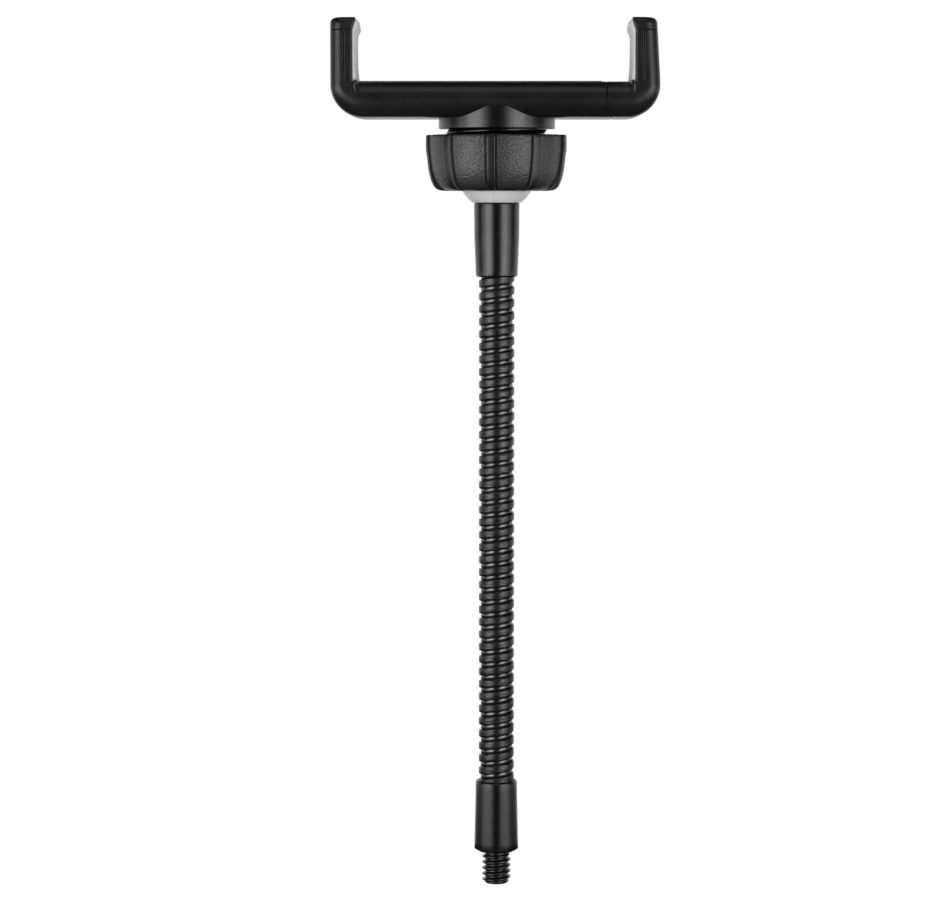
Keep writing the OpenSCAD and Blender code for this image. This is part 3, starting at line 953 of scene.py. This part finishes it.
add_knob()
add_socket()
add_ball()
add_end("clamp_shell", "clamp_body", fixed_arm, parting - seam, seam_r + parting, channel_end)
add_end("jaw_shell", "sliding_jaw", slide_arm, seam, seam_r, seam + jaw_recess)
add_trim("fixed_jaw_trim", "fixed_jaw_insert", fixed_arm)
add_trim("sliding_jaw_trim", "sliding_jaw_insert", slide_arm)
add_pad("fixed_pad", "fixed_jaw_pad", fixed_arm)
add_pad("sliding_pad", "sliding_jaw_pad", slide_arm)
add_tongue()
add_springs()
soften("face_plate", 0.08 * MM, 2)
soften("upper_ferrule", 0.16 * MM, 3)
soften("lower_ferrule", 0.16 * MM, 3)
add_gooseneck()
add_stud()

dressed = {
    "lower_ferrule": gloss, "upper_ferrule": gloss, "ball": pale, "friction_ring": pale, "knob": smooth_rib,
    "socket": gloss, "socket_screws": steel, "clamp_body": matt, "face_plate": matt,
    "face_plate_screws": stud_steel, "fixed_jaw_insert": matt, "fixed_jaw_pad": soft,
    "sliding_jaw": matt, "sliding_jaw_insert": matt, "sliding_jaw_pad": soft,
    "spring_front": steel, "spring_rear": steel, "spring_pins": steel, "stop_pin": steel,
}
for node, material in dressed.items():
    for place in frame["nodes"][node].material_slots:
        place.material = material


# The floor, the wall and the light, in metres
floor_z = -0.125  # the arm is held up, so that the panels of light reach below it
ground_half = 5
wall_y = 1.1
wall_half = 3.3
wall_top = 0.6
shade_from = 0.16
shade_to = 0.42
screen_r = 2.6
screen_span = math.radians(107)
screen_steps = 32
card_half = 0.8
card_end = 0.5
ceiling = [(-2.4, 1.9), (-0.8, 2.2), (0.2, 1.9), (1.0, 0.95), (1.07, 0.66)]
ceiling_half = 2.0


def seen_white(name, share):
    """Pale, and seen as white by the camera and in reflections. Near the arm it keeps a share of its
    own shade, for the shadow."""
    finish = Finish(name, Roughness=0.9, Base_Color=(0.85, 0.85, 0.85, 1))
    away = finish.node("ShaderNodeVectorMath", {"operation": "LENGTH"}, {0: finish.place}, output="Value")
    near = 1 - finish.node(
        "ShaderNodeMapRange", {"interpolation_type": "SMOOTHSTEP"},
        {"Value": away, "From Min": shade_from, "From Max": shade_to},
    )
    camera_ray, glossy_ray, through_ray = (
        finish.node("ShaderNodeLightPath", output=ray)
        for ray in ("Is Camera Ray", "Is Glossy Ray", "Is Transmission Ray")
    )
    seen = camera_ray.maximum(glossy_ray).maximum(through_ray)
    own = Value(finish, finish.surface.outputs[0])
    white = finish.node("ShaderNodeEmission", {}, {"Color": (1, 1, 1, 1), "Strength": 1.0})
    shown = finish.node("ShaderNodeMixShader", {}, {0: seen * (1 - near * share), 1: own, 2: white})
    finish.feed(finish.tree.nodes["Material Output"], {"Surface": shown})
    return finish.material


def dark_cloth():
    """Dull black cloth, for the dark stripes between the lights."""
    finish = Finish("dark_cloth", Roughness=1.0)
    weave = finish.noise(4 * MM, 2)
    finish.colour_between(weave, (0.03, 0.03, 0.03), (0.05, 0.05, 0.05))
    return finish.material


def add_sheet(name, rows, material, flag=False):
    """A stage surface through rows of points. A flag is dark, and only seen mirrored in what shines."""
    verts = [point for row in rows for point in row]
    mesh = bpy.data.meshes.new(name)
    mesh.from_pydata(verts, [], ring_faces(len(rows), len(rows[0]), closed=False))
    mesh.materials.append(material)
    sheet = bpy.data.objects.new(name, mesh)
    bpy.context.collection.objects.link(sheet)
    if flag:
        sheet.visible_camera = False
        sheet.visible_diffuse = False
        sheet.visible_shadow = False


add_sheet("floor", [
    [(-ground_half, side * ground_half, floor_z), (ground_half, side * ground_half, floor_z)]
    for side in (-1, 1)
], seen_white("white_floor", 0.35))
add_sheet("wall", [
    [(-wall_half, wall_y, height), (wall_half, wall_y, height)] for height in (floor_z, wall_top)
], seen_white("white_wall", 0.0))
cloth = dark_cloth()
screen_angles = [screen_span * (2 * i / screen_steps - 1) for i in range(screen_steps + 1)]
add_sheet("dark_screen", [
    [(screen_r * math.sin(angle), -screen_r * math.cos(angle), height) for angle in screen_angles]
    for height in (floor_z, ceiling[0][1])
], cloth, True)
add_sheet("dark_ceiling", [
    [(-ceiling_half, y, height), (ceiling_half, y, height)] for y, height in ceiling
], cloth, True)
add_sheet("dark_card", [
    [(-card_half, y, floor_z + MM), (card_half, y, floor_z + MM)] for y in (-screen_r, card_end)
], cloth, True)


def add_softbox(name, azimuth, distance, height, aim_z, width, tall, radiance):
    """A rectangular light aimed at the arm's middle line, azimuth degrees to the right of the camera."""
    lamp = bpy.data.lights.new(name, "AREA")
    lamp.shape = "RECTANGLE"
    lamp.size = width
    lamp.size_y = tall
    lamp.energy = radiance * math.pi * width * tall
    angle = math.radians(azimuth)
    light = bpy.data.objects.new(name, lamp)
    light.location = (distance * math.sin(angle), -distance * math.cos(angle), height)
    aim = Vector((0, 0, aim_z)) - light.location
    light.rotation_euler = aim.to_track_quat("-Z", "Y").to_euler()
    light.visible_camera = False
    bpy.context.collection.objects.link(light)


# On each side a wide dim panel, with a smaller bright one before it
panel = {"distance": 0.5, "height": 0.06, "aim_z": 0.06, "tall": 0.34, "radiance": 1.7}
core = {"distance": 0.49, "height": 0.12, "aim_z": 0.12, "tall": 0.3}
add_softbox("softbox_left", azimuth=-50, width=0.6, **panel)
add_softbox("softbox_left_core", azimuth=-44, width=0.27, radiance=3.0, **core)
add_softbox("softbox_right", azimuth=47, width=0.54, **panel)
add_softbox("softbox_right_core", azimuth=42, width=0.24, radiance=2.7, **core)
add_softbox("softbox_top", 0, distance=0.3, height=0.8, aim_z=0.1, width=0.5, tall=0.4, radiance=1.1)

# The sky, white to look at and dimmer as a light
world = bpy.data.worlds.new("studio")
world.use_nodes = True
bpy.context.scene.world = world
sky = Nodes(world.node_tree)
diffuse_ray = sky.node("ShaderNodeLightPath", output="Is Diffuse Ray")
level = sky.node("ShaderNodeMapRange", {}, {"Value": diffuse_ray, "To Min": 1.0, "To Max": 0.3})
sky.feed(sky.tree.nodes["Background"], {"Color": (1, 1, 1, 1), "Strength": level})

# The camera, level with the ball and looking a little down
camera_data = bpy.data.cameras.new("camera")
camera_data.sensor_width = 36
camera_data.lens = 115.9
look_down = math.radians(4.87)
look_left = math.radians(0.47)
camera = bpy.data.objects.new("camera", camera_data)
camera.location = (-0.97 * MM, -650 * MM, 143.06 * MM)
camera.rotation_euler = (math.radians(90) - look_down, 0, look_left)
bpy.context.collection.objects.link(camera)
bpy.context.scene.camera = camera
bpy.context.scene.view_settings.view_transform = "Standard"
